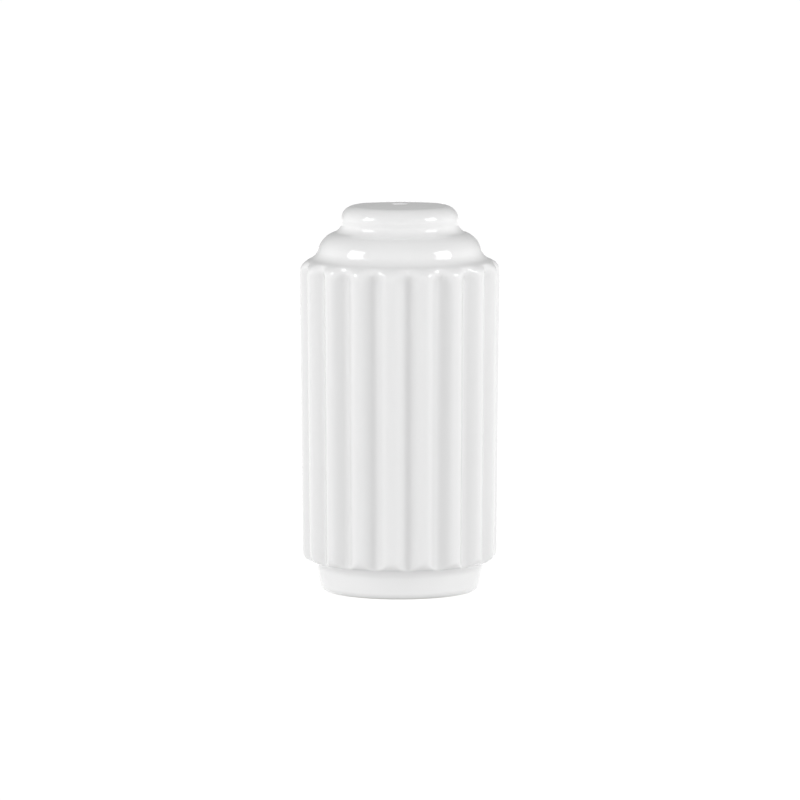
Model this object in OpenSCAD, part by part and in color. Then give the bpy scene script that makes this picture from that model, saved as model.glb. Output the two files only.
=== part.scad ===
// Salt shaker: one fired piece of glazed porcelain with a ribbed wall, a stepped top and one
// pour hole, filled from below and closed there by a soft push-in stopper.
// Millimetres, +Z up, origin at the middle of the foot where it stands on the table.

/* [Body] */
// Height from the table to the top
total_h = 82; // [74:0.5:92]
// Diameter over the ribs at the shoulder
crest_d_top = 42.4; // [40:0.2:46]
// Diameter over the ribs at their lower ends
crest_d_bottom = 41.2; // [39:0.2:44]
// Thickness of the porcelain
wall = 2.4; // [2:0.1:3.2]

/* [Ribs] */
// Number of ribs round the wall
rib_count = 18; // [16:1:20]
// Width of the hollow between two ribs
hollow_w = 4.4; // [3.6:0.1:4.8]
// Slope of the hollow's sides in degrees
hollow_slope = 42; // [32:1:46]
// Round of the hollow's floor
hollow_round = 1.2; // [0.8:0.1:1.6]
// Round of the ribs' edges
rib_round = 2.4; // [1.2:0.1:2.8]
// Height of the ribs' lower ends
rib_end_z = 7.3; // [7:0.1:9]
// Round at the ribs' lower ends
rib_end_round = 2.7; // [1.4:0.1:3]
// Height over which the hollows run out under the shoulder
run_out = 1.6; // [1:0.1:2.5]
// Soft start of that run-out
run_out_round = 2; // [0.5:0.1:2.5]

/* [Shoulder] */
// Rise of the sloping shoulder
shoulder_rise = 1.65; // [1.2:0.05:2.6]
// Round between the ribs and the shoulder
shoulder_round = 3.4; // [2:0.1:4]

/* [Stepped top] */
// Diameter of the lower step at the shoulder
lower_step_d = 35.5; // [34.5:0.1:36.5]
// Diameter of the lower step at its upper edge
lower_step_top_d = 32.9; // [32:0.1:33.8]
// Height of the lower step's wall
lower_step_h = 4.25; // [3.8:0.05:5.5]
// Rise of the lower step's sloping crown
crown_rise = 1.4; // [0.8:0.05:2]
// Diameter of the upper step at the crown
upper_step_d = 24.5; // [22:0.1:26]
// Diameter of the upper step at its upper edge
upper_step_top_d = 25.7; // [23:0.1:27]
// Height of the upper step
upper_step_h = 5.45; // [5:0.05:7]
// Rise of the top towards its middle
top_rise = 0.5; // [0.1:0.05:0.8]
// Hollow between the shoulder and the lower step
lower_step_fillet = 2.9; // [1:0.1:3.2]
// Round of the lower step's edge
lower_step_round = 5.6; // [2:0.1:6]
// Hollow between the crown and the upper step
upper_step_fillet = 1.6; // [0.6:0.1:2]
// Round of the upper step's edge
upper_step_round = 3.3; // [2:0.1:4]
// Diameter of the pour hole
pour_d = 2.8; // [2:0.1:4]

/* [Foot] */
// Diameter of the foot at the table
foot_d = 33.6; // [32:0.2:35]
// Diameter of the foot below the ribs
foot_top_d = 35.3; // [34:0.1:37]
// Height of the foot's wall
foot_h = 5.85; // [4.8:0.05:6.2]
// Round of the foot's outer edge
foot_round = 1.7; // [0.8:0.1:1.8]
// Hollow between the foot and the ribs
foot_fillet = 2.6; // [0.6:0.1:3]
// Width of the ring that the shaker stands on
foot_ring_w = 3.6; // [3.4:0.1:5]
// Round of the ring's inner edge
ring_round = 0.8; // [0.4:0.1:1.2]
// Depth of the hollow underneath
recess_h = 3; // [2.6:0.1:4]
// Hollow in the corner of that recess
recess_fillet = 1; // [0.5:0.1:1.2]
// Thickness of the base round the fill hole
base_t = 3.6; // [2.8:0.1:4.6]

/* [Stopper] */
// Gap between the stopper's flange and the foot ring
flange_gap = 2.2; // [1.6:0.1:3]
// Width of the flange's seat round the fill hole
seat_w = 2.5; // [1.8:0.1:3.2]
// Thickness of the flange
flange_t = 1.6; // [1.2:0.1:2]
// Gap between the sealing beads and the fill hole
seal_gap = 0.06; // [0.03:0.01:0.1]
// Radius of a sealing bead
bead_r = 0.6; // [0.5:0.05:0.7]
// How far the beads stand out of the plug
bead_h = 0.4; // [0.3:0.05:0.45]
// Number of sealing beads
bead_count = 2; // [1:1:2]
// How far the plug reaches past the base into the salt
plug_reach = 2.4; // [1.6:0.1:4]
// How much the plug's radius narrows towards its end
plug_taper = 0.6; // [0:0.1:1]
// Thickness of the plug's wall and end
plug_wall = 1.5; // [1.2:0.1:2]
// Thickness of the grip bar across the plug's hollow
grip_t = 2; // [1.4:0.1:2.4]
// How far the grip bar lies inside the flange's face
grip_inset = 0.4; // [0.2:0.1:1]

/* [Hidden] */
$fn = 96;
porcelain_white = [0.94, 0.94, 0.93];
silicone_white = [0.82, 0.84, 0.83];

// Heights of the outer profile's corners
upper_z = total_h - upper_step_h;
crown_z = upper_z - crown_rise;
lower_z = crown_z - lower_step_h;
shoulder_z = lower_z - shoulder_rise;
floor_z = recess_h + base_t;

// Radii from the foot ring inwards
recess_r = foot_d / 2 - foot_ring_w;
flange_r = recess_r - flange_gap;
fill_r = flange_r - seat_w;

// Rib spacing, and the lean of the wall per millimetre of height
half_pitch = 180 / rib_count;
lean = (crest_d_top - crest_d_bottom) / 2 / (shoulder_z - rib_end_z);
// Angle from the middle of a hollow to its rim, and how far the rim lies back from the wall there
rim_angle = asin(hollow_w / crest_d_top);
rim_back = crest_d_top / 2 * (1 - cos(rim_angle));
hollow_point = rim_back + hollow_w / 2 * tan(hollow_slope);
hollow_depth = hollow_point - hollow_round * (1 / cos(hollow_slope) - 1);
// How far the turning that ends the hollows starts below their floor
end_cover = 0.1;
// How far cutters run past what they cut
overrun = 1;
// Round of the corners inside
cavity_round = 1.6;
// Small rounds of the moulded stopper
lip_round = 0.4;

// Radius of the ribs' backs at height z, and of the floor of the hollows
function crest_r(z) = crest_d_bottom / 2 + lean * (z - rib_end_z);
function floor_r(z) = crest_r(z) - hollow_depth;

// Rounded outlines are lists of corners [x, y, round], anticlockwise
function flat(c) = [c.x, c.y];
function at(c, i) = c[(i + len(c)) % len(c)];
function way(c, i) = flat(at(c, i + 1)) - flat(at(c, i));
function unit(v) = v / norm(v);
function turn(c, i) = cross(unit(way(c, i - 1)), unit(way(c, i)));
function deflection(c, i) = acos(max(-1, min(1, unit(way(c, i - 1)) * unit(way(c, i)))));
function wanted_setback(c, i) = at(c, i)[2] * tan(deflection(c, i) / 2);
// A round is limited by the two sides that it joins, and leaves a little of each
side_share = 0.98;
function room(c, i) = side_share * norm(way(c, i))
    / max(0.001, wanted_setback(c, i) + wanted_setback(c, i + 1));
function setback(c, i) = wanted_setback(c, i) * min(1, room(c, i - 1), room(c, i));
function round_r(c, i) = setback(c, i) / tan(deflection(c, i) / 2);
function round_centre(c, i) = flat(at(c, i))
    + unit(unit(way(c, i)) - unit(way(c, i - 1))) * round_r(c, i) / cos(deflection(c, i) / 2);
function round_ends(c, i) = at(c, i)[2] == 0 ? [flat(at(c, i))] : [
    flat(at(c, i)) - unit(way(c, i - 1)) * setback(c, i),
    flat(at(c, i)) + unit(way(c, i)) * setback(c, i)
];

// Area inside a list of corners, with a true arc at each rounded one
module rounded_outline(c) {
    last = len(c) - 1;
    difference() {
        union() {
            polygon([for (i = [0:last]) each round_ends(c, i)]);
            for (i = [0:last])
                if (c[i][2] > 0 && turn(c, i) > 0)
                    translate(round_centre(c, i)) circle(r = round_r(c, i));
        }
        for (i = [0:last])
            if (c[i][2] > 0 && turn(c, i) < 0)
                translate(round_centre(c, i)) circle(r = round_r(c, i));
    }
}

// What a hollow takes out of the wall, seen along it: x outwards from the wall, y round it.
// Its outer sides run along the wall's tangents at the rims, up to the middle of the ribs.
module hollow_section() {
    rim = [-rim_back, hollow_w / 2];
    rib_middle = rim + crest_d_top / 2 * sin(half_pitch - rim_angle) * [-sin(rim_angle), cos(rim_angle)];
    rounded_outline([
        [-hollow_point, 0, hollow_round],
        [rim.x, -rim.y, rib_round],
        [rib_middle.x, -rib_middle.y, 0],
        [overrun, -rib_middle.y, 0],
        [overrun, rib_middle.y, 0],
        [rib_middle.x, rib_middle.y, 0],
        [rim.x, rim.y, rib_round]
    ]);
}

// All the hollows, leaning with the wall, with a rib at the front
module hollows() {
    for (i = [0:rib_count - 1])
        rotate([0, 0, -90 + (2 * i + 1) * half_pitch])
            translate([crest_r(0), 0, 0])
                rotate([0, atan(lean), 0])
                    linear_extrude(total_h) hollow_section();
}

// Turning under the shoulder that flares outwards and ends the hollows between the ribs
module hollow_ends() {
    start_z = shoulder_z - run_out;
    start_r = floor_r(start_z) - end_cover;
    end_r = crest_r(shoulder_z) + overrun;
    rotate_extrude()
        rounded_outline([
            [0, start_z / 2, 0],
            [floor_r(start_z / 2) - end_cover, start_z / 2, 0],
            [start_r, start_z, run_out_round],
            [end_r, start_z + end_r - start_r, 0],
            [end_r, total_h + 2 * overrun, 0],
            [0, total_h + 2 * overrun, 0]
        ]);
}

// Outer profile: recess, foot ring, foot, ribbed band, shoulder and the two steps
module turned_outside() {
    rotate_extrude()
        rounded_outline([
            [0, recess_h, 0],
            [recess_r, recess_h, recess_fillet],
            [recess_r, 0, ring_round],
            [foot_d / 2, 0, foot_round],
            [foot_top_d / 2, foot_h, foot_fillet],
            [crest_d_bottom / 2, rib_end_z, rib_end_round],
            [crest_d_top / 2, shoulder_z, shoulder_round],
            [lower_step_d / 2, lower_z, lower_step_fillet],
            [lower_step_top_d / 2, crown_z, lower_step_round],
            [upper_step_d / 2, upper_z, upper_step_fillet],
            [upper_step_top_d / 2, total_h - top_rise, upper_step_round],
            [pour_d / 2, total_h, 0],
            [0, total_h, 0]
        ]);
}

// Salt chamber: follows the outside one wall further in
module chamber() {
    rotate_extrude()
        rounded_outline([
            [0, floor_z, 0],
            [foot_top_d / 2 - wall, floor_z, cavity_round],
            [floor_r(rib_end_z) - wall, rib_end_z + wall, cavity_round],
            [floor_r(shoulder_z) - wall, shoulder_z - wall, cavity_round],
            [lower_step_d / 2 - wall, lower_z - wall, cavity_round],
            [lower_step_top_d / 2 - wall, crown_z - wall, cavity_round],
            [upper_step_d / 2 - wall, upper_z - wall, cavity_round],
            [upper_step_top_d / 2 - wall, total_h - top_rise - wall, cavity_round],
            [0, total_h - wall, 0]
        ]);
}

module shaker_body() {
    color(porcelain_white)
        difference() {
            turned_outside();
            difference() {
                hollows();
                hollow_ends();
            }
            chamber();
            translate([0, 0, recess_h - overrun]) cylinder(r = fill_r, h = base_t + 2 * overrun);
            translate([0, 0, total_h - wall - overrun]) cylinder(d = pour_d, h = wall + 2 * overrun);
        }
}

// Stopper: a flange that seats under the base, and a hollow plug with sealing beads
plug_r = fill_r - seal_gap - bead_h;
plug_end_r = plug_r - plug_taper;
plug_top_z = floor_z + plug_reach;
flange_z = recess_h - flange_t;
hollow_r = plug_end_r - plug_wall;
hollow_z = plug_top_z - plug_wall;

module plug_turning() {
    rotate_extrude()
        union() {
            rounded_outline([
                [0, hollow_z, 0],
                [hollow_r, hollow_z, lip_round],
                [hollow_r, flange_z, lip_round],
                [flange_r, flange_z, lip_round],
                [flange_r, recess_h, lip_round],
                [plug_r, recess_h, 0],
                [plug_r, floor_z, 0],
                [plug_end_r, plug_top_z, lip_round],
                [0, plug_top_z, 0]
            ]);
            for (i = [1:bead_count])
                translate([plug_r + bead_h - bead_r, recess_h + base_t * i / (bead_count + 1)])
                    circle(r = bead_r);
        }
}

// Bar across the hollow, keyed into the plug's wall and end
module grip_bar() {
    key = plug_wall / 2;
    bar_z = flange_z + grip_inset;
    translate([0, 0, bar_z])
        intersection() {
            cylinder(r = hollow_r + key, h = hollow_z + key - bar_z);
            translate([-flange_r, -grip_t / 2, 0]) cube([2 * flange_r, grip_t, plug_top_z]);
        }
}

module stopper() {
    color(silicone_white) {
        plug_turning();
        grip_bar();
    }
}

shaker_body();
stopper();
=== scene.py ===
"""Looks of a ribbed porcelain salt shaker and its silicone stopper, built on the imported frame."""

import math

import bmesh
import bpy
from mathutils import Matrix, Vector


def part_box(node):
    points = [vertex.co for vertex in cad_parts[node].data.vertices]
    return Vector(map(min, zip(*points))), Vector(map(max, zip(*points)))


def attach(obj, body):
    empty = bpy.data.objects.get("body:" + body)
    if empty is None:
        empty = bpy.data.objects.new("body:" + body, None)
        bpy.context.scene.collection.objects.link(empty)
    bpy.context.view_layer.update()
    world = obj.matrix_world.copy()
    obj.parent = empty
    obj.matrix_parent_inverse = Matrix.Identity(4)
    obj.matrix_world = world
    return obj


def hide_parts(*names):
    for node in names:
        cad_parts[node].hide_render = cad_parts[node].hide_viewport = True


bl_info = {
    "name": "Ribbed Salt Shaker",
    "version": (1, 0, 0),
    "blender": (4, 5, 0),
    "location": "View3D > Sidebar > Shaker",
    "description": "Builds a glazed porcelain salt shaker, its stopper and a small photo studio",
    "category": "Add Mesh",
}

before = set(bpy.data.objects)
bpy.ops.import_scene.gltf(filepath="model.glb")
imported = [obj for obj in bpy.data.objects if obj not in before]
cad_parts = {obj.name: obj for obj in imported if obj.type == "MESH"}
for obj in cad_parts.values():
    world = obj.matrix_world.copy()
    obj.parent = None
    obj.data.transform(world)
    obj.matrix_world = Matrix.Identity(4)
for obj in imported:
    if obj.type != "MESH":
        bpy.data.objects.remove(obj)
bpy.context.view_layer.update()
BODY_LOW, BODY_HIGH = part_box("shaker_body")
STOPPER_LOW, STOPPER_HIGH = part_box("stopper")

MM = 0.001


# Settings

def length(name, description, millimetres):
    """A size in metres, given in millimetres."""
    return bpy.props.FloatProperty(
        name=name, description=description, default=millimetres * MM, unit="LENGTH", precision=5
    )


def amount(name, description, value):
    """A plain number."""
    return bpy.props.FloatProperty(name=name, description=description, default=value)


def count(name, description, value):
    """A whole number."""
    return bpy.props.IntProperty(name=name, description=description, default=value, min=1)


def turn(name, description, degrees):
    """An angle, given in degrees."""
    return bpy.props.FloatProperty(
        name=name, description=description, default=math.radians(degrees), subtype="ANGLE"
    )


def colour(name, description, rgb):
    """A linear colour."""
    return bpy.props.FloatVectorProperty(
        name=name, description=description, default=rgb, subtype="COLOR", size=3, min=0, max=1
    )


class PorcelainSettings(bpy.types.PropertyGroup):
    """Sizes and glaze of the porcelain body"""

    height: bpy.props.FloatProperty(
        name="Height", description="Table to top", default=BODY_HIGH.z - BODY_LOW.z, unit="LENGTH"
    )
    crest_r: bpy.props.FloatProperty(
        name="Crest Radius", description="Radius over the ribs at the shoulder",
        default=BODY_HIGH.y, unit="LENGTH",
    )
    crest_r_bottom: length("Lower Crest Radius", "Radius over the ribs at their lower ends", 20.6)
    rib_count: count("Ribs", "Number of ribs round the wall", 18)
    flute_depth: length("Flute Depth", "Depth of the hollows between the ribs", 1.7)
    flute_sharp: amount(
        "Flute Sharpness", "1 for an even wave, more for broad ribs and narrow hollows", 1.3
    )
    flute_rise: length("Flute Rise", "How far past the shoulder's corner the flutes reach", 2.0)
    run_out: length("Run-out", "Length over which a flute runs out at its upper end", 4.5)
    soft: length("Softness", "Reach of the soft edge where flutes meet other faces", 0.8)
    wobble: length("Wobble", "Unevenness left by casting and firing", 0.03)
    wall: length("Wall", "Thickness of the porcelain", 2.4)
    pour_r: length("Pour Hole Radius", "Radius of the hole in the top", 1.4)
    glaze: colour("Glaze", "Colour of the glazed porcelain", (0.86, 0.86, 0.86))
    # Painted shade: how dark the glaze is painted in the hollows between the ribs, as a share of
    # the glaze
    hollow_shade_tone: amount(
        "Hollow Shade Tone", "Tone of the thick glaze in the hollows, as a share of the glaze", 0.93
    )
    biscuit: colour("Biscuit", "Colour of the bare ring on the foot", (0.72, 0.70, 0.66))


class StopperSettings(bpy.types.PropertyGroup):
    """Sizes and colour of the stopper"""

    plug_wall: length("Plug Wall", "Thickness of the plug's wall and end", 1.5)
    grip_t: length("Grip Bar", "Thickness of the bar across the hollow", 2)
    silicone: colour("Silicone", "Colour of the silicone", (0.72, 0.74, 0.73))


class StudioSettings(bpy.types.PropertyGroup):
    """Camera and light of the photo studio"""

    camera_azimuth: turn("Camera Azimuth", "Camera's angle round the shaker from the front", 5.2)
    camera_elevation: turn("Camera Elevation", "Camera's angle above the table", 6.77)
    camera_distance: length("Camera Distance", "Camera to the point that it looks at", 1694)
    view_width: length("View Width", "What the picture spans at that distance", 169.1)
    aim_z: length("Aim Height", "Height of the point in the middle of the picture", 40.34)
    aim_side: length("Aim Offset", "How far that point lies to the right of the axis", 0.06)
    softbox_azimuth: turn("Softbox Azimuth", "Each softbox's angle from the camera", 69)
    softbox_elevation: turn("Softbox Elevation", "Each softbox's height as an angle", 30)
    softbox_width: length("Softbox Width", "Width of each softbox", 400)
    softbox_height: length("Softbox Height", "Height of each softbox", 330)
    softbox_distance: length("Softbox Distance", "Each softbox's distance from the shaker", 1000)
    softbox_power: amount("Softbox Power", "Watts of each softbox", 2.5)
    room_light: amount("Room Light", "Strength of the white studio walls", 1.744)
    back_light: amount(
        "Back Light", "Strength of the studio behind the shaker, as a share of its walls", 0.27
    )
    side_light: amount(
        "Side Light", "Extra strength of the studio on both sides, as a share of its walls", 0.2
    )
    under_fall: amount(
        "Under Fall", "How fast the light fades below the table, as a share of the fall above", 0.62
    )


# Node helpers

def place(tree, kind, inputs=None, **settings):
    """Adds a node with its properties, and feeds its inputs from values or other nodes' outputs."""
    node = tree.nodes.new(kind)
    for name, value in settings.items():
        setattr(node, name, value)
    for key, value in (inputs or {}).items():
        if isinstance(value, bpy.types.NodeSocket):
            tree.links.new(value, node.inputs[key])
        else:
            node.inputs[key].default_value = value
    return node


def calc(tree, operation, *values):
    """Output of a Math node on values or sockets."""
    return place(tree, "ShaderNodeMath", dict(enumerate(values)), operation=operation).outputs[0]


def ramp(tree, value, start, end, low, high, smooth=False):
    """Output of a Map Range node, which runs from low at the start to high at the end."""
    inputs = {"Value": value, "From Min": start, "From Max": end, "To Min": low, "To Max": high}
    kind = "SMOOTHSTEP" if smooth else "LINEAR"
    return place(tree, "ShaderNodeMapRange", inputs, interpolation_type=kind).outputs[0]


def along(tree, vector, axis):
    """How far a vector reaches along an axis."""
    inputs = {0: vector, 1: axis}
    return place(tree, "ShaderNodeVectorMath", inputs, operation="DOT_PRODUCT").outputs["Value"]


def new_group(name, kind, inputs, outputs):
    """A node group with named sockets, and its inner ends."""
    tree = bpy.data.node_groups.new(name, kind)
    for label, socket in inputs:
        tree.interface.new_socket(label, in_out="INPUT", socket_type=socket)
    for label, socket in outputs:
        tree.interface.new_socket(label, in_out="OUTPUT", socket_type=socket)
    given, result = tree.nodes.new("NodeGroupInput"), tree.nodes.new("NodeGroupOutput")
    return tree, given.outputs, result.inputs


def use_group(tree, group, inputs):
    """Places a node group in another tree and feeds its inputs by name."""
    kind = "GeometryNodeGroup" if tree.type == "GEOMETRY" else "ShaderNodeGroup"
    return place(tree, kind, inputs, node_tree=group)


def shared(group_name, make):
    """A node group that is made once."""
    return bpy.data.node_groups.get(group_name) or make()


# Geometry node trees

MESH = ("Mesh", "NodeSocketGeometry")
MATERIAL = ("Material", "NodeSocketMaterial")
TURN_INPUTS = [
    ("Profile", "NodeSocketGeometry"),
    ("Columns", "NodeSocketInt"),
    ("Closed", "NodeSocketInt"),
    ("Fine Corners", "NodeSocketInt"),
    ("Fine Steps", "NodeSocketInt"),
    ("Coarse Steps", "NodeSocketInt"),
]
RIB_INPUTS = [
    ("Rib Count", "NodeSocketInt"),
    ("Crest Radius", "NodeSocketFloat"),
    ("Lean", "NodeSocketFloat"),
    ("Flute Depth", "NodeSocketFloat"),
    ("Flute Sharpness", "NodeSocketFloat"),
    ("Flute Top", "NodeSocketFloat"),
    ("Run-out", "NodeSocketFloat"),
    ("Softness", "NodeSocketFloat"),
    ("Wobble", "NodeSocketFloat"),
]

# Attribute that holds how far a point is pressed in, as a share of the flutes' depth
# The glaze reads it to paint shade into the hollows between the ribs
SHADE_ATTRIBUTE = "hollow_shade"
# Heights, as shares of the flutes' top, over which scalloped flutes change to rounded ones
CHANGE_OVER = (0.4, 0.7)
# How far the shoulder falls back from the crests, in flute depths, while the flutes fade on it
SHOULDER_FADE = (0.45, 1.1)
GRAIN_SCALE = 55.0
TINY = 1e-6


def turning_group():
    """Rounds the corners of a profile by their radius and turns it about the Z axis."""
    tree, given, result = new_group("Turn Profile", "GeometryNodeTree", TURN_INPUTS, [MESH])
    index = place(tree, "GeometryNodeInputIndex").outputs[0]
    position = place(tree, "GeometryNodeInputPosition").outputs[0]
    fine = place(
        tree, "FunctionNodeCompare", {2: index, 3: given["Fine Corners"]},
        data_type="INT", operation="LESS_THAN",
    ).outputs[0]
    steps = place(
        tree, "GeometryNodeSwitch",
        {"Switch": fine, "False": given["Coarse Steps"], "True": given["Fine Steps"]},
        input_type="INT",
    ).outputs[0]
    rounded = place(
        tree, "GeometryNodeFilletCurve",
        {"Curve": given["Profile"], "Count": steps, "Limit Radius": True,
         "Radius": place(tree, "GeometryNodeInputRadius").outputs[0]},
        mode="POLY",
    ).outputs[0]
    points = place(
        tree, "GeometryNodeAttributeDomainSize", {"Geometry": rounded}, component="CURVE"
    ).outputs["Point Count"]
    rows = calc(tree, "ADD", points, given["Closed"])
    stitches = calc(tree, "ADD", given["Columns"], 1)
    grid = place(
        tree, "GeometryNodeMeshGrid",
        {"Size X": 1.0, "Size Y": 1.0, "Vertices X": rows, "Vertices Y": stitches},
    ).outputs["Mesh"]
    row = calc(tree, "FLOOR", calc(tree, "DIVIDE", calc(tree, "ADD", index, 0.5), stitches))
    column = calc(tree, "SUBTRACT", index, calc(tree, "MULTIPLY", row, stitches))
    angle = calc(tree, "MULTIPLY", calc(tree, "DIVIDE", column, given["Columns"]), math.tau)
    corner = place(
        tree, "GeometryNodeSampleIndex",
        {"Geometry": rounded, "Value": position, "Index": calc(tree, "MODULO", row, points)},
        data_type="FLOAT_VECTOR", domain="POINT",
    ).outputs[0]
    radius_z = place(tree, "ShaderNodeSeparateXYZ", {0: corner}).outputs
    front = calc(tree, "MULTIPLY", calc(tree, "COSINE", angle), -1)
    turned = place(tree, "ShaderNodeCombineXYZ", {
        "X": calc(tree, "MULTIPLY", radius_z["X"], calc(tree, "SINE", angle)),
        "Y": calc(tree, "MULTIPLY", radius_z["X"], front),
        "Z": radius_z["Z"],
    }).outputs[0]
    moved = place(tree, "GeometryNodeSetPosition", {"Geometry": grid, "Position": turned})
    closed = place(
        tree, "GeometryNodeMergeByDistance", {"Geometry": moved.outputs[0], "Distance": TINY}
    )
    smooth = place(tree, "GeometryNodeSetShadeSmooth", {"Geometry": closed.outputs[0]})
    tree.links.new(smooth.outputs[0], result["Mesh"])
    return tree


def rib_group():
    """Presses soft flutes into a turned wall, which leave broad ribs and fade on the shoulder."""
    tree, given, result = new_group("Rib Wall", "GeometryNodeTree", [MESH] + RIB_INPUTS, [MESH])
    depth, top, softness = given["Flute Depth"], given["Flute Top"], given["Softness"]
    position = place(tree, "GeometryNodeInputPosition").outputs[0]
    at = place(tree, "ShaderNodeSeparateXYZ", {0: position}).outputs
    flat = place(
        tree, "ShaderNodeVectorMath", {0: position, 1: (1, 1, 0)}, operation="MULTIPLY"
    ).outputs[0]
    radius = place(tree, "ShaderNodeVectorMath", {0: flat}, operation="LENGTH").outputs["Value"]
    crest = calc(tree, "MULTIPLY_ADD", at["Z"], given["Lean"], given["Crest Radius"])

    # Depth of the flutes round the wall and up to where they run out
    angle = calc(tree, "ARCTAN2", at["X"], calc(tree, "MULTIPLY", at["Y"], -1))
    wave = calc(tree, "COSINE", calc(tree, "MULTIPLY", angle, given["Rib Count"]))
    hollow = calc(tree, "MULTIPLY_ADD", wave, -0.5, 0.5)
    flute = calc(tree, "POWER", hollow, given["Flute Sharpness"])
    start = calc(tree, "SUBTRACT", top, given["Run-out"])
    fade = ramp(tree, at["Z"], start, top, 1.0, 0.0, smooth=True)
    cut = calc(tree, "MULTIPLY", calc(tree, "MULTIPLY", flute, fade), depth)

    # Lower down the flutes cut the edge above the foot into scallops
    scalloped = calc(tree, "SMOOTH_MIN", radius, calc(tree, "SUBTRACT", crest, cut), softness)

    # Further up they follow the round of the shoulder and fade as it falls back
    near, far = (calc(tree, "MULTIPLY", depth, share) for share in SHOULDER_FADE)
    kept = ramp(tree, calc(tree, "SUBTRACT", crest, radius), near, far, 1.0, 0.0, smooth=True)
    plain = calc(tree, "SMOOTH_MIN", radius, crest, softness)
    rounded = calc(tree, "SUBTRACT", plain, calc(tree, "MULTIPLY", cut, kept))
    low, high = (calc(tree, "MULTIPLY", top, share) for share in CHANGE_OVER)
    upper = ramp(tree, at["Z"], low, high, 0.0, 1.0)
    change = calc(tree, "SUBTRACT", rounded, scalloped)
    pressed = calc(tree, "MULTIPLY_ADD", change, upper, scalloped)

    # Painted shade: the wall is marked by how far it is pressed in, so that the glaze is painted
    # darker in the hollows
    sunk = calc(tree, "SUBTRACT", calc(tree, "MINIMUM", radius, crest), pressed)
    marked = place(
        tree, "GeometryNodeStoreNamedAttribute",
        {"Geometry": given["Mesh"], "Name": SHADE_ATTRIBUTE, "Value": calc(tree, "DIVIDE", sunk, depth)},
        data_type="FLOAT", domain="POINT",
    ).outputs[0]

    # The wall moves in or out, a little unevenly
    grain = place(
        tree, "ShaderNodeTexNoise", {"Vector": position, "Scale": GRAIN_SCALE, "Detail": 1.0},
        noise_dimensions="3D",
    ).outputs[0]
    bulge = calc(tree, "SUBTRACT", grain, 0.5)
    uneven = calc(tree, "MULTIPLY_ADD", bulge, given["Wobble"], pressed)
    share = calc(tree, "DIVIDE", uneven, calc(tree, "MAXIMUM", radius, TINY))
    scale = place(tree, "ShaderNodeCombineXYZ", {"X": share, "Y": share, "Z": 1.0}).outputs[0]
    moved = place(
        tree, "ShaderNodeVectorMath", {0: position, 1: scale}, operation="MULTIPLY"
    ).outputs[0]
    shaped = place(tree, "GeometryNodeSetPosition", {"Geometry": marked, "Position": moved})
    tree.links.new(shaped.outputs[0], result["Mesh"])
    return tree


def finish_tree(tree, mesh, given, result):
    """Ends a piece's tree: plain geometry with its material."""
    real = place(tree, "GeometryNodeRealizeInstances", {"Geometry": mesh}).outputs[0]
    coated = place(
        tree, "GeometryNodeSetMaterial", {"Geometry": real, "Material": given["Material"]}
    )
    tree.links.new(coated.outputs[0], result["Mesh"])


def porcelain_tree(turning):
    """Turned and ribbed body."""
    tree, given, result = new_group(
        "Porcelain Body", "GeometryNodeTree", TURN_INPUTS + RIB_INPUTS + [MATERIAL], [MESH]
    )
    turned = use_group(tree, turning, {name: given[name] for name, _ in TURN_INPUTS}).outputs[0]
    ribs = {name: given[name] for name, _ in RIB_INPUTS}
    ribbed = use_group(tree, rib_group(), {"Mesh": turned, **ribs}).outputs[0]
    finish_tree(tree, ribbed, given, result)
    return tree


def stopper_tree(turning):
    """Turned stopper."""
    tree, given, result = new_group(
        "Stopper", "GeometryNodeTree", TURN_INPUTS + [MATERIAL], [MESH]
    )
    turned = use_group(tree, turning, {name: given[name] for name, _ in TURN_INPUTS}).outputs[0]
    finish_tree(tree, turned, given, result)
    return tree


# From a profile to a piece

def show(name, data):
    """A new object in the scene."""
    thing = bpy.data.objects.new(name, data)
    bpy.context.scene.collection.objects.link(thing)
    return thing


def profile_curve(name, corners, closed):
    """A curve through corners of radius, height and round, with the round as point radius."""
    data = bpy.data.curves.new(name, "CURVE")
    data.dimensions = "3D"
    spline = data.splines.new("POLY")
    spline.points.add(len(corners) - 1)
    for point, (radius, height, rounding) in zip(spline.points, corners):
        point.co = (radius, 0, height, 1)
        point.radius = rounding
    spline.use_cyclic_u = closed
    return show(name, data)


def grow(curve, tree, values):
    """Gives a profile curve its node tree, with the inputs set by their socket identifiers."""
    modifier = curve.modifiers.new(tree.name, "NODES")
    modifier.node_group = tree
    for item in tree.interface.items_tree:
        if item.in_out == "INPUT" and item.name in values:
            modifier[item.identifier] = values[item.name]


def plain_piece(name, source):
    """The evaluated source as a plain mesh object, with the source removed."""
    bpy.context.view_layer.update()
    depsgraph = bpy.context.evaluated_depsgraph_get()
    evaluated = source.evaluated_get(depsgraph)
    mesh = bpy.data.meshes.new_from_object(evaluated, depsgraph=depsgraph)
    if not mesh.polygons:
        raise RuntimeError(f"{name} came out empty")
    mesh.name = name
    piece = show(name, mesh)
    bpy.data.objects.remove(source)
    return piece


# Materials

# Places of the colour sockets on a Mix node, whose other data types have the same names
MIX_FIRST, MIX_SECOND, MIX_RESULT = 6, 7, 2

# Height on the foot ring over which the bare biscuit changes to glaze
GLAZE_EDGE = (0.12 * MM, 0.3 * MM)
GLAZE_ROUGHNESS, BARE_ROUGHNESS = (0.02, 0.045), 0.55
SILICONE_ROUGHNESS = (0.36, 0.5)
# Tone of the darker clouds, as a share of the colour
GLAZE_CLOUD, SILICONE_CLOUD = 0.97, 0.92
RIPPLE_HEIGHT = 0.02 * MM
GLAZE_IOR, SILICONE_IOR = 1.52, 1.41


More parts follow.
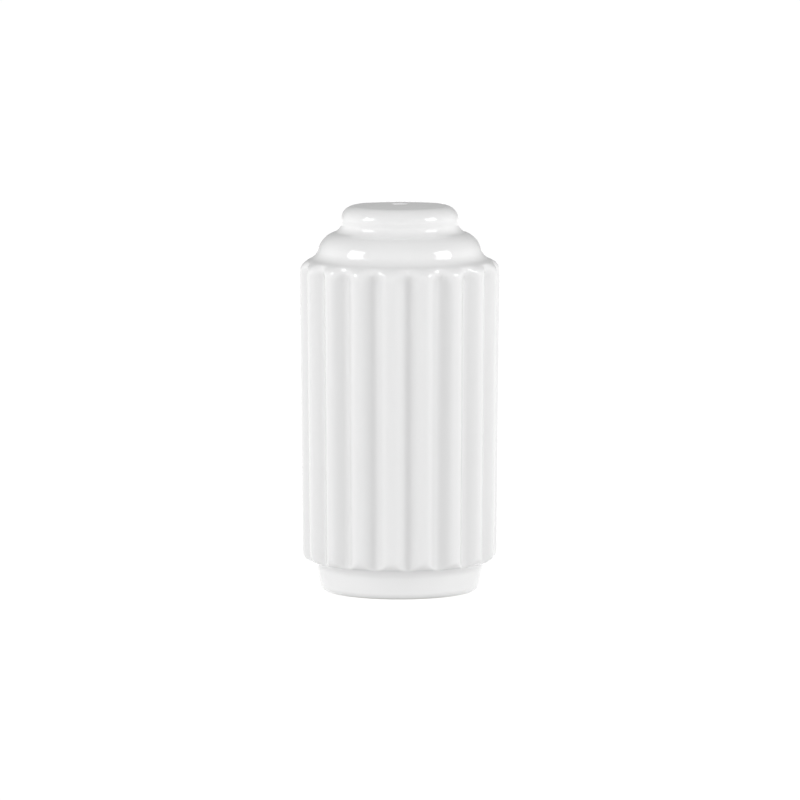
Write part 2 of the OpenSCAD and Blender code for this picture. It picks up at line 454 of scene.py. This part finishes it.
def variation_group():
    """Cloudy mottling and a fine ripple, shared by the glaze and the silicone."""
    tree, given, result = new_group(
        "Surface Variation", "ShaderNodeTree",
        [("Mottle Scale", "NodeSocketFloat"), ("Ripple Scale", "NodeSocketFloat")],
        [("Mottle", "NodeSocketFloat"), ("Ripple", "NodeSocketFloat")],
    )
    coordinates = place(tree, "ShaderNodeTexCoord").outputs["Object"]
    for output, detail in (("Mottle", 3.0), ("Ripple", 1.5)):
        noise = place(
            tree, "ShaderNodeTexNoise",
            {"Vector": coordinates, "Scale": given[output + " Scale"], "Detail": detail},
        )
        tree.links.new(noise.outputs[0], result[output])
    return tree


def new_material(name):
    """A material with an empty tree, its Principled shader and its output."""
    material = bpy.data.materials.new(name)
    material.use_nodes = True
    tree = material.node_tree
    tree.nodes.clear()
    shader = tree.nodes.new("ShaderNodeBsdfPrincipled")
    output = tree.nodes.new("ShaderNodeOutputMaterial")
    tree.links.new(shader.outputs[0], output.inputs["Surface"])
    return material, tree, shader.inputs


def mix_colours(tree, factor, *colours):
    """Output of a mix of two colours, each a socket or red, green and blue."""
    first, second = (c if isinstance(c, bpy.types.NodeSocket) else (*c, 1) for c in colours)
    inputs = {"Factor": factor, MIX_FIRST: first, MIX_SECOND: second}
    return place(tree, "ShaderNodeMix", inputs, data_type="RGBA").outputs[MIX_RESULT]


def toned(rgb, share):
    """A darker tone of a colour."""
    return [share * channel for channel in rgb]


def ripple(tree, height, strength):
    """Normal of a faintly rippled surface."""
    inputs = {"Strength": strength, "Distance": RIPPLE_HEIGHT, "Height": height}
    return place(tree, "ShaderNodeBump", inputs).outputs[0]


def glaze_material(settings, variation):
    """High-gloss white glaze with a faint ripple and painted shade in the hollows, left bare on the
    ring that it stands on.
    """
    material, tree, shader = new_material("white_glaze")
    surface = use_group(tree, variation, {"Mottle Scale": 70.0, "Ripple Scale": 260.0}).outputs
    coordinates = place(tree, "ShaderNodeTexCoord").outputs["Object"]
    height = place(tree, "ShaderNodeSeparateXYZ", {0: coordinates}).outputs["Z"]
    bare = ramp(tree, height, *GLAZE_EDGE, 1.0, 0.0)
    white = settings.glaze
    cloudy = mix_colours(tree, surface["Mottle"], white, toned(white, GLAZE_CLOUD))
    # Painted shade: the glaze is painted darker where the wall is pressed into the hollows
    hollow_shade = place(tree, "ShaderNodeAttribute", attribute_name=SHADE_ATTRIBUTE).outputs["Fac"]
    shaded = mix_colours(tree, hollow_shade, cloudy, toned(white, settings.hollow_shade_tone))
    tree.links.new(mix_colours(tree, bare, shaded, settings.biscuit), shader["Base Color"])
    gloss = ramp(tree, surface["Mottle"], 0.0, 1.0, *GLAZE_ROUGHNESS)
    rough = calc(tree, "MULTIPLY_ADD", bare, BARE_ROUGHNESS, gloss)
    tree.links.new(rough, shader["Roughness"])
    tree.links.new(ripple(tree, surface["Ripple"], 0.25), shader["Normal"])
    shader["IOR"].default_value = GLAZE_IOR
    return material


def silicone_material(settings, variation):
    """Milky satin silicone."""
    material, tree, shader = new_material("milky_silicone")
    surface = use_group(tree, variation, {"Mottle Scale": 160.0, "Ripple Scale": 1800.0}).outputs
    milky = settings.silicone
    cloudy = mix_colours(tree, surface["Mottle"], milky, toned(milky, SILICONE_CLOUD))
    tree.links.new(cloudy, shader["Base Color"])
    satin = ramp(tree, surface["Mottle"], 0.0, 1.0, *SILICONE_ROUGHNESS)
    tree.links.new(satin, shader["Roughness"])
    tree.links.new(ripple(tree, surface["Ripple"], 0.3), shader["Normal"])
    shader["IOR"].default_value = SILICONE_IOR
    shader["Subsurface Weight"].default_value = 0.35
    shader["Subsurface Radius"].default_value = (1.0, 1.0, 0.95)
    shader["Subsurface Scale"].default_value = 1.5 * MM
    return material


# Sizes of the body that follow its CAD solid

FOOT_R, FOOT_TOP_R, FOOT_H = 16.8 * MM, 17.65 * MM, 5.85 * MM
RECESS_R, RECESS_H, BASE_T = 13.2 * MM, 3 * MM, 3.6 * MM
FLOOR_Z = RECESS_H + BASE_T
FILL_R = 8.5 * MM
RIB_END_Z = 7.3 * MM
LOWER_STEP_R, LOWER_STEP_TOP_R = 17.75 * MM, 16.45 * MM
UPPER_STEP_R, UPPER_STEP_TOP_R = 12.25 * MM, 12.85 * MM
SHOULDER_RISE, LOWER_STEP_H, CROWN_RISE = 1.65 * MM, 4.25 * MM, 1.4 * MM
UPPER_STEP_H, TOP_RISE = 5.45 * MM, 0.5 * MM

# Rounds of its corners
HOLE_ROUND, RECESS_ROUND = 0.5 * MM, 1 * MM
RING_INNER_ROUND, RING_OUTER_ROUND = 0.8 * MM, 1.7 * MM
FOOT_TOP_ROUND, RIB_END_ROUND = 2.6 * MM, 2.7 * MM
SHOULDER_ROUND, LOWER_STEP_ROUND, CROWN_ROUND = 3.4 * MM, 2.9 * MM, 5.6 * MM
UPPER_STEP_ROUND, TOP_ROUND = 2.3 * MM, 3.3 * MM
CHAMBER_ROUND, POUR_INNER_ROUND = 1.6 * MM, 0.4 * MM

# Share of the softness by which the turned wall stands outside the crests, which trim it
WALL_EXCESS = 0.35
# Rows of points on the straight wall, and how far from its corners they keep
WALL_ROWS, WALL_KEEP_LOW, WALL_KEEP_HIGH = 22, 3 * MM, 3.5 * MM

# Fineness of the meshes
COLUMNS_PER_RIB, OUTER_STEPS, CHAMBER_STEPS = 20, 10, 3
STOPPER_COLUMNS, STOPPER_STEPS = 160, 6


def step_heights(s):
    """Heights of the shoulder, the lower step's foot and crown, and the upper step's foot."""
    upper_z = s.height - UPPER_STEP_H
    crown_z = upper_z - CROWN_RISE
    lower_z = crown_z - LOWER_STEP_H
    return lower_z - SHOULDER_RISE, lower_z, crown_z, upper_z


def outer_corners(s):
    """Corners of the body's outside from the fill hole round the foot up to the pour hole."""
    shoulder_z, lower_z, crown_z, upper_z = step_heights(s)
    excess = WALL_EXCESS * s.soft
    low, high = s.crest_r_bottom + excess, s.crest_r + excess
    wall_start, wall_end = RIB_END_Z + WALL_KEEP_LOW, shoulder_z - WALL_KEEP_HIGH
    corners = [
        (FILL_R, RECESS_H, HOLE_ROUND),
        (RECESS_R, RECESS_H, RECESS_ROUND),
        (RECESS_R, 0, RING_INNER_ROUND),
        (FOOT_R, 0, RING_OUTER_ROUND),
        (FOOT_TOP_R, FOOT_H, FOOT_TOP_ROUND),
        (low, RIB_END_Z, RIB_END_ROUND),
    ]
    for row in range(WALL_ROWS + 1):
        z = wall_start + (wall_end - wall_start) * row / WALL_ROWS
        share = (z - RIB_END_Z) / (shoulder_z - RIB_END_Z)
        corners.append((low + (high - low) * share, z, 0))
    corners += [
        (high, shoulder_z, SHOULDER_ROUND),
        (LOWER_STEP_R, lower_z, LOWER_STEP_ROUND),
        (LOWER_STEP_TOP_R, crown_z, CROWN_ROUND),
        (UPPER_STEP_R, upper_z, UPPER_STEP_ROUND),
        (UPPER_STEP_TOP_R, s.height - TOP_RISE, TOP_ROUND),
        (s.pour_r, s.height, HOLE_ROUND),
    ]
    return corners


def inner_corners(s):
    """Corners of the salt chamber from the pour hole down to the fill hole."""
    shoulder_z, lower_z, crown_z, upper_z = step_heights(s)
    wall = s.wall
    return [
        (s.pour_r, s.height - wall, POUR_INNER_ROUND),
        (UPPER_STEP_TOP_R - wall, s.height - TOP_RISE - wall, CHAMBER_ROUND),
        (UPPER_STEP_R - wall, upper_z - wall, CHAMBER_ROUND),
        (LOWER_STEP_TOP_R - wall, crown_z - wall, CHAMBER_ROUND),
        (LOWER_STEP_R - wall, lower_z - wall, CHAMBER_ROUND),
        (s.crest_r - s.flute_depth - wall, shoulder_z - wall, CHAMBER_ROUND),
        (s.crest_r_bottom - s.flute_depth - wall, RIB_END_Z + wall, CHAMBER_ROUND),
        (FOOT_TOP_R - wall, FLOOR_Z, CHAMBER_ROUND),
        (FILL_R, FLOOR_Z, HOLE_ROUND),
    ]


# Sizes of the stopper that follow its CAD solid

FLANGE_R = 11 * MM
PLUG_GAP, BEAD_GAP, PLUG_TAPER = 0.46 * MM, 0.06 * MM, 0.6 * MM
BEADS = 2
BEAD_HALF, BEAD_FLAT_HALF = 0.6 * MM, 0.2 * MM
BEAD_FOOT_ROUND, BEAD_ROUND = 0.2 * MM, 0.25 * MM
LIP_ROUND, SEAT_ROUND, PLUG_END_ROUND = 0.4 * MM, 0.1 * MM, 0.5 * MM
GRIP_SETBACK = 0.4 * MM
# Bevel on the grip bar's lower edges, as a share of its thickness
GRIP_BEVEL, GRIP_BEVEL_STEPS = 0.4, 6
SHARP_ANGLE = math.radians(40)


def stopper_corners(s):
    """Corners of the stopper from the roof of its hollow round the flange up to the plug's end."""
    low, top, seat = STOPPER_LOW.z, STOPPER_HIGH.z, RECESS_H
    plug_r, bead_r = FILL_R - PLUG_GAP, FILL_R - BEAD_GAP
    end_r = plug_r - PLUG_TAPER
    hollow_r = end_r - s.plug_wall
    corners = [
        (0, top - s.plug_wall, 0),
        (hollow_r, top - s.plug_wall, LIP_ROUND),
        (hollow_r, low, LIP_ROUND),
        (FLANGE_R, low, LIP_ROUND),
        (FLANGE_R, seat, LIP_ROUND),
        (plug_r, seat, SEAT_ROUND),
    ]
    for bead in range(1, BEADS + 1):
        z = seat + BASE_T * bead / (BEADS + 1)
        corners += [
            (plug_r, z - BEAD_HALF, BEAD_FOOT_ROUND),
            (bead_r, z - BEAD_FLAT_HALF, BEAD_ROUND),
            (bead_r, z + BEAD_FLAT_HALF, BEAD_ROUND),
            (plug_r, z + BEAD_HALF, BEAD_FOOT_ROUND),
        ]
    corners += [
        (plug_r, FLOOR_Z, PLUG_END_ROUND),
        (end_r, top, PLUG_END_ROUND),
        (0, top, 0),
    ]
    return corners, hollow_r


def grip_bar(width, thickness, low, high):
    """A bar with rounded lower edges, as a mesh object."""
    work = bmesh.new()
    bmesh.ops.create_cube(work, size=1)
    for vertex in work.verts:
        vertex.co.x *= width
        vertex.co.y *= thickness
        vertex.co.z = high if vertex.co.z > 0 else low
    under = [e for e in work.edges if all(v.co.z == low for v in e.verts)]
    lengthwise = [e for e in under if abs(e.verts[0].co.x - e.verts[1].co.x) > width / 2]
    bmesh.ops.bevel(
        work, geom=lengthwise, offset=GRIP_BEVEL * thickness, segments=GRIP_BEVEL_STEPS,
        affect="EDGES", profile=0.5,
    )
    mesh = bpy.data.meshes.new("grip_bar")
    work.to_mesh(mesh)
    work.free()
    return show("grip_bar", mesh)


# Operators

class SHAKER_OT_porcelain_body(bpy.types.Operator):
    """Build the ribbed porcelain body"""

    bl_idname = "shaker.porcelain_body"
    bl_label = "Porcelain Body"

    def execute(self, context):
        s = context.scene.shaker_porcelain
        outside, inside = outer_corners(s), inner_corners(s)
        shoulder_z = step_heights(s)[0]
        lean = (s.crest_r - s.crest_r_bottom) / (shoulder_z - RIB_END_Z)
        curve = profile_curve("porcelain_profile", outside + inside, closed=True)
        grow(curve, porcelain_tree(shared("Turn Profile", turning_group)), {
            "Columns": s.rib_count * COLUMNS_PER_RIB,
            "Closed": 1,
            "Fine Corners": len(outside),
            "Fine Steps": OUTER_STEPS,
            "Coarse Steps": CHAMBER_STEPS,
            "Rib Count": s.rib_count,
            "Crest Radius": s.crest_r_bottom - lean * RIB_END_Z,
            "Lean": lean,
            "Flute Depth": s.flute_depth,
            "Flute Sharpness": s.flute_sharp,
            "Flute Top": shoulder_z + s.flute_rise,
            "Run-out": s.run_out,
            "Softness": s.soft,
            "Wobble": s.wobble,
            "Material": glaze_material(s, shared("Surface Variation", variation_group)),
        })
        body = plain_piece("porcelain_body", curve)
        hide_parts("shaker_body")
        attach(body, "body")
        return {"FINISHED"}


class SHAKER_OT_stopper(bpy.types.Operator):
    """Build the silicone stopper"""

    bl_idname = "shaker.stopper"
    bl_label = "Stopper"

    def execute(self, context):
        s = context.scene.shaker_stopper
        corners, hollow_r = stopper_corners(s)
        curve = profile_curve("stopper_profile", corners, closed=False)
        grow(curve, stopper_tree(shared("Turn Profile", turning_group)), {
            "Columns": STOPPER_COLUMNS,
            "Closed": 0,
            "Fine Corners": len(corners),
            "Fine Steps": STOPPER_STEPS,
            "Coarse Steps": STOPPER_STEPS,
            "Material": silicone_material(s, shared("Surface Variation", variation_group)),
        })
        plug = plain_piece("turned_stopper", curve)
        bar = grip_bar(
            2 * hollow_r + s.plug_wall, s.grip_t,
            STOPPER_LOW.z + GRIP_SETBACK, STOPPER_HIGH.z - s.plug_wall / 2,
        )
        union = plug.modifiers.new("Grip", "BOOLEAN")
        union.operation = "UNION"
        union.object = bar
        stopper = plain_piece("silicone_stopper", plug)
        bpy.data.objects.remove(bar)
        stopper.data.set_sharp_from_angle(angle=SHARP_ANGLE)
        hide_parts("stopper")
        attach(stopper, "stopper")
        return {"FINISHED"}


# Stage

FLOOR_R, FLOOR_SEGMENTS = 8, 96
# The floor stops under the foot ring, so that the underside is lit when seen from below
FLOOR_HOLE_R = (RECESS_R + FOOT_R) / 2
# How bright the floor is in reflections, and its tone for all other light
FLOOR_GLOW, FLOOR_TONE = 0.8, 0.72
# To the camera the floor is nearly clear, so that a stopper below it shows, and takes a soft shadow
FLOOR_CLEAR, FLOOR_SHADOW_TONE = 0.94, 0.15
# Sine of the elevation at which the studio's walls have faded to dark
CEILING = 0.95
# Cosine of the angle from the camera within which the studio has its full strength
BACK_EDGE = -0.3
# Width of the camera's sensor in millimetres, and how far it sees in metres
SENSOR_WIDTH, FAR_CLIP = 36, 50


def direction(azimuth, elevation):
    """Unit vector from the shaker outwards, with azimuth 0 towards the front."""
    return Vector((
        math.sin(azimuth) * math.cos(elevation),
        -math.cos(azimuth) * math.cos(elevation),
        math.sin(elevation),
    ))


def floor_material():
    """White floor that shows the white studio to the camera and keeps a soft shadow."""
    material = bpy.data.materials.new("white_floor")
    material.use_nodes = True
    tree = material.node_tree
    tree.nodes.clear()
    path = place(tree, "ShaderNodeLightPath").outputs
    camera = path["Is Camera Ray"]
    mirrored = calc(tree, "MAXIMUM", path["Is Glossy Ray"], path["Is Transmission Ray"])
    glow = place(
        tree, "ShaderNodeEmission",
        {"Color": (1, 1, 1, 1), "Strength": calc(tree, "MULTIPLY", mirrored, FLOOR_GLOW)},
    ).outputs[0]
    tone = calc(tree, "MULTIPLY_ADD", camera, FLOOR_SHADOW_TONE - FLOOR_TONE, FLOOR_TONE)
    paper = place(tree, "ShaderNodeBsdfDiffuse", {"Color": tone}).outputs[0]
    backdrop = place(
        tree, "ShaderNodeBsdfTransparent", {"Color": calc(tree, "MULTIPLY", camera, FLOOR_CLEAR)}
    ).outputs[0]
    opaque = place(tree, "ShaderNodeAddShader", {0: glow, 1: paper}).outputs[0]
    above = place(tree, "ShaderNodeAddShader", {0: opaque, 1: backdrop}).outputs[0]
    below = place(tree, "ShaderNodeBsdfTransparent").outputs[0]
    underside = place(tree, "ShaderNodeNewGeometry").outputs["Backfacing"]
    surface = place(tree, "ShaderNodeMixShader", {0: underside, 1: above, 2: below}).outputs[0]
    output = tree.nodes.new("ShaderNodeOutputMaterial")
    tree.links.new(surface, output.inputs["Surface"])
    return material


class SHAKER_OT_stage(bpy.types.Operator):
    """Build the floor, the softboxes, the studio and the camera"""

    bl_idname = "shaker.stage"
    bl_label = "Stage"

    def execute(self, context):
        s = context.scene.shaker_studio
        self.floor()
        self.studio(s)
        for side in (-1, 1):
            self.softbox(s, side)
        self.camera(s)
        return {"FINISHED"}

    def floor(self):
        """A wide flat ring that faces up."""
        work = bmesh.new()
        for radius in (FLOOR_HOLE_R, FLOOR_R):
            bmesh.ops.create_circle(work, segments=FLOOR_SEGMENTS, radius=radius)
        bmesh.ops.bridge_loops(work, edges=work.edges[:])
        work.normal_update()
        bmesh.ops.reverse_faces(work, faces=[f for f in work.faces if f.normal.z < 0])
        mesh = bpy.data.meshes.new("floor")
        work.to_mesh(mesh)
        work.free()
        mesh.materials.append(floor_material())
        show("floor", mesh)

    def studio(self, s):
        """White walls under a dark ceiling, dimmer behind, and plain white to the camera."""
        world = bpy.data.worlds.new("studio")
        bpy.context.scene.world = world
        world.use_nodes = True
        tree = world.node_tree
        tree.nodes.clear()
        outwards = place(tree, "ShaderNodeTexCoord").outputs["Generated"]
        height = place(tree, "ShaderNodeSeparateXYZ", {0: outwards}).outputs["Z"]
        depth = calc(tree, "MULTIPLY", height, -s.under_fall)
        walls = ramp(
            tree, calc(tree, "MAXIMUM", height, depth), 0.0, CEILING, s.room_light, 0.0
        )
        forward = along(tree, outwards, direction(s.camera_azimuth, 0))
        round_about = ramp(tree, forward, -1.0, BACK_EDGE, s.back_light, 1.0, smooth=True)
        sideways = along(tree, outwards, direction(s.camera_azimuth + math.pi / 2, 0))
        sides = calc(tree, "MULTIPLY_ADD", calc(tree, "POWER", sideways, 2.0), s.side_light, 1.0)
        level = calc(tree, "MULTIPLY", walls, calc(tree, "MULTIPLY", round_about, sides))
        camera = place(tree, "ShaderNodeLightPath").outputs["Is Camera Ray"]
        seen = calc(tree, "MULTIPLY_ADD", calc(tree, "SUBTRACT", 1.0, level), camera, level)
        glow = place(tree, "ShaderNodeBackground", {"Color": (1, 1, 1, 1), "Strength": seen})
        output = tree.nodes.new("ShaderNodeOutputWorld")
        tree.links.new(glow.outputs[0], output.inputs["Surface"])

    def softbox(self, s, side):
        """A softbox on one side, turned to the shaker."""
        name = "softbox_left" if side < 0 else "softbox_right"
        light = bpy.data.lights.new(name, "AREA")
        light.shape = "RECTANGLE"
        light.size, light.size_y = s.softbox_width, s.softbox_height
        light.energy = s.softbox_power
        lamp = show(name, light)
        out = direction(s.camera_azimuth + side * s.softbox_azimuth, s.softbox_elevation)
        lamp.location = Vector((0, 0, s.aim_z)) + out * s.softbox_distance
        lamp.rotation_euler = out.to_track_quat("Z", "Y").to_euler()

    def camera(self, s):
        """Long lens that frames the shaker as the photograph does."""
        data = bpy.data.cameras.new("camera")
        data.sensor_width = SENSOR_WIDTH
        data.lens = SENSOR_WIDTH * s.camera_distance / s.view_width
        data.clip_end = FAR_CLIP
        camera = show("camera", data)
        back = direction(s.camera_azimuth, s.camera_elevation)
        right = direction(s.camera_azimuth + math.pi / 2, 0)
        aim = Vector((0, 0, s.aim_z)) + right * s.aim_side
        camera.location = aim + back * s.camera_distance
        camera.rotation_euler = back.to_track_quat("Z", "Y").to_euler()
        bpy.context.scene.camera = camera


# Sidebar and registration

class SHAKER_PT_sidebar(bpy.types.Panel):
    """Settings and steps of the shaker"""

    bl_idname = "SHAKER_PT_sidebar"
    bl_label = "Salt Shaker"
    bl_space_type = "VIEW_3D"
    bl_region_type = "UI"
    bl_category = "Shaker"

    def draw(self, context):
        for owner, step in STEPS:
            box = self.layout.box()
            settings = getattr(context.scene, owner)
            for name in settings.__annotations__:
                box.prop(settings, name)
            box.operator(step)


SETTINGS = {
    "shaker_porcelain": PorcelainSettings,
    "shaker_stopper": StopperSettings,
    "shaker_studio": StudioSettings,
}
STEPS = (
    ("shaker_studio", "shaker.stage"),
    ("shaker_porcelain", "shaker.porcelain_body"),
    ("shaker_stopper", "shaker.stopper"),
)
CLASSES = (
    *SETTINGS.values(),
    SHAKER_OT_stage,
    SHAKER_OT_porcelain_body,
    SHAKER_OT_stopper,
    SHAKER_PT_sidebar,
)


def register():
    """Registers the classes and gives the scene its settings."""
    for kind in CLASSES:
        bpy.utils.register_class(kind)
    for name, kind in SETTINGS.items():
        setattr(bpy.types.Scene, name, bpy.props.PointerProperty(type=kind))


def unregister():
    """Takes the settings and the classes away again."""
    for name in SETTINGS:
        delattr(bpy.types.Scene, name)
    for kind in reversed(CLASSES):
        bpy.utils.unregister_class(kind)


def main():
    """Builds the studio and the shaker."""
    register()
    bpy.context.scene.view_settings.view_transform = "Standard"
    bpy.ops.shaker.stage()
    bpy.ops.shaker.porcelain_body()
    bpy.ops.shaker.stopper()


if __name__ == "__main__":
    main()
